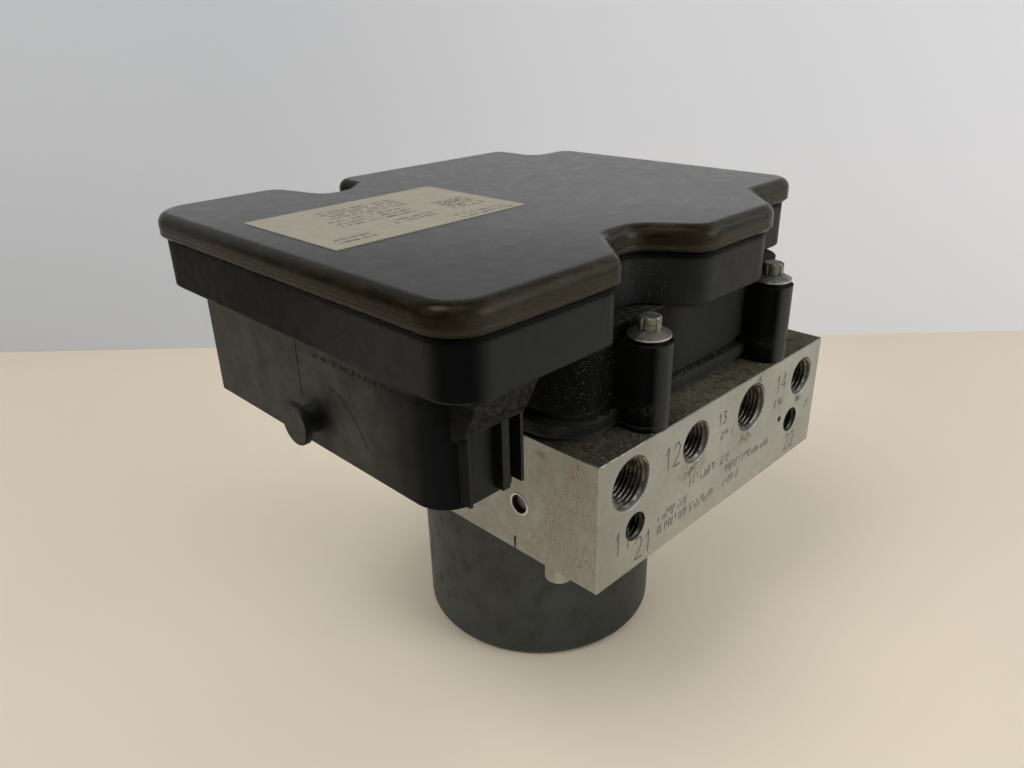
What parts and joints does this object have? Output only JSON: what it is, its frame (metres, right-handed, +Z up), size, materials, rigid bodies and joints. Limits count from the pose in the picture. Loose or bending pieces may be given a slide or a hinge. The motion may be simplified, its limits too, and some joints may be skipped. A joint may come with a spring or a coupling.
{
  "type": "brake hydraulic control unit",
  "caption": "Aluminium valve block with threaded brake line ports, a steel pump motor below and a black plastic electronics housing with a hanging cable socket above.",
  "frame": {"origin": "on the motor axis, at the motor's flat end, which the unit stands on", "axes": "+Z up the motor axis through the block and the electronics, wheel ports face -Y, the cable socket hangs at -X"},
  "size_m": [0.1246, 0.1052, 0.1195],
  "materials": {
    "machined_aluminium": "milled, slightly stained",
    "coated_steel": "thin dark coating, mottled",
    "plated_steel": "dull zinc",
    "bright_steel": "turned",
    "magnet": "ferrite grey",
    "carbon": "carbon",
    "copper": "copper",
    "inner_plastic": "moulded",
    "housing_plastic": "fine moulded texture, dusty",
    "cover_plastic": "satin, dirty rim",
    "seal_rubber": "matt",
    "label_film": "aged paper film",
    "board_laminate": "green lacquer",
    "chip_plastic": "moulded",
    "capacitor_can": "can",
    "contact_metal": "tinned"
  },
  "bodies": {
    "unit": {"accumulator_cover_left": "plated_steel", "accumulator_cover_right": "plated_steel", "accumulator_spring_left": "bright_steel", "accumulator_spring_right": "bright_steel", "ball_plug": "plated_steel", "board_capacitors": "capacitor_can", "brush_holder": "inner_plastic", "brushes": "carbon", "circuit_board": "board_laminate", "coil_pack": "inner_plastic", "connector_pins": "contact_metal", "cover_label": "label_film", "driver_chip": "chip_plastic", "ecu_cover": "cover_plastic", "ecu_housing": "housing_plastic", "ecu_screws": "plated_steel", "ecu_seal": "seal_rubber", "hydraulic_block": "machined_aluminium", "inlet_valve_1": "bright_steel", "inlet_valve_2": "bright_steel", "inlet_valve_3": "bright_steel", "inlet_valve_4": "bright_steel", "lower_bearing": "bright_steel", "motor_can": "coated_steel", "motor_contact": "inner_plastic", "motor_end_plate": "bright_steel", "motor_magnets": "magnet", "motor_screws": "plated_steel", "outlet_valve_1": "bright_steel", "outlet_valve_2": "bright_steel", "outlet_valve_3": "bright_steel", "outlet_valve_4": "bright_steel", "pressure_sensor": "bright_steel", "processor_chip": "chip_plastic", "pump_plug_left": "plated_steel", "pump_plug_right": "plated_steel", "pump_sleeve_left": "bright_steel", "pump_sleeve_right": "bright_steel", "pump_spring_left": "bright_steel", "pump_spring_right": "bright_steel", "upper_bearing": "bright_steel"},
    "rotor": {"motor_shaft": "bright_steel", "armature": "bright_steel", "commutator": "copper", "eccentric_ring": "bright_steel"},
    "pump_piston_left_body": {"pump_piston_left": "bright_steel"},
    "accumulator_piston_left_body": {"accumulator_piston_left": "inner_plastic"},
    "pump_piston_right_body": {"pump_piston_right": "bright_steel"},
    "accumulator_piston_right_body": {"accumulator_piston_right": "inner_plastic"},
    "inlet_plunger_1_body": {"inlet_plunger_1": "bright_steel"},
    "inlet_plunger_2_body": {"inlet_plunger_2": "bright_steel"},
    "inlet_plunger_3_body": {"inlet_plunger_3": "bright_steel"},
    "inlet_plunger_4_body": {"inlet_plunger_4": "bright_steel"},
    "outlet_plunger_1_body": {"outlet_plunger_1": "bright_steel"},
    "outlet_plunger_2_body": {"outlet_plunger_2": "bright_steel"},
    "outlet_plunger_3_body": {"outlet_plunger_3": "bright_steel"},
    "outlet_plunger_4_body": {"outlet_plunger_4": "bright_steel"}
  },
  "joints": [
    {"name": "rotor_spin", "type": "hinge", "parent": "unit", "child": "rotor", "pos_m": [0, 0, 0], "axis": [0, 0, 1], "continuous": true},
    {"name": "pump_stroke_left", "type": "slide", "parent": "unit", "child": "pump_piston_left_body", "axis": [-1, 0, 0], "range_m": [0, 0.002], "stiffness_N_per_m": 400, "springref_m": -0.003},
    {"name": "accumulator_travel_left", "type": "slide", "parent": "unit", "child": "accumulator_piston_left_body", "axis": [0, 1, 0], "range_m": [0, 0.005], "stiffness_N_per_m": 300, "springref_m": -0.004},
    {"name": "pump_stroke_right", "type": "slide", "parent": "unit", "child": "pump_piston_right_body", "axis": [1, 0, 0], "range_m": [0, 0.002], "stiffness_N_per_m": 400, "springref_m": -0.003},
    {"name": "accumulator_travel_right", "type": "slide", "parent": "unit", "child": "accumulator_piston_right_body", "axis": [0, 1, 0], "range_m": [0, 0.005], "stiffness_N_per_m": 300, "springref_m": -0.004},
    {"name": "inlet_lift_1", "type": "slide", "parent": "unit", "child": "inlet_plunger_1_body", "axis": [0, 0, -1], "range_m": [0, 0.0003], "stiffness_N_per_m": 300, "springref_m": -0.001},
    {"name": "inlet_lift_2", "type": "slide", "parent": "unit", "child": "inlet_plunger_2_body", "axis": [0, 0, -1], "range_m": [0, 0.0003], "stiffness_N_per_m": 300, "springref_m": -0.001},
    {"name": "inlet_lift_3", "type": "slide", "parent": "unit", "child": "inlet_plunger_3_body", "axis": [0, 0, -1], "range_m": [0, 0.0003], "stiffness_N_per_m": 300, "springref_m": -0.001},
    {"name": "inlet_lift_4", "type": "slide", "parent": "unit", "child": "inlet_plunger_4_body", "axis": [0, 0, -1], "range_m": [0, 0.0003], "stiffness_N_per_m": 300, "springref_m": -0.001},
    {"name": "outlet_lift_1", "type": "slide", "parent": "unit", "child": "outlet_plunger_1_body", "axis": [0, 0, 1], "range_m": [0, 0.0003], "stiffness_N_per_m": 300, "springref_m": -0.001},
    {"name": "outlet_lift_2", "type": "slide", "parent": "unit", "child": "outlet_plunger_2_body", "axis": [0, 0, 1], "range_m": [0, 0.0003], "stiffness_N_per_m": 300, "springref_m": -0.001},
    {"name": "outlet_lift_3", "type": "slide", "parent": "unit", "child": "outlet_plunger_3_body", "axis": [0, 0, 1], "range_m": [0, 0.0003], "stiffness_N_per_m": 300, "springref_m": -0.001},
    {"name": "outlet_lift_4", "type": "slide", "parent": "unit", "child": "outlet_plunger_4_body", "axis": [0, 0, 1], "range_m": [0, 0.0003], "stiffness_N_per_m": 300, "springref_m": -0.001}
  ]
}
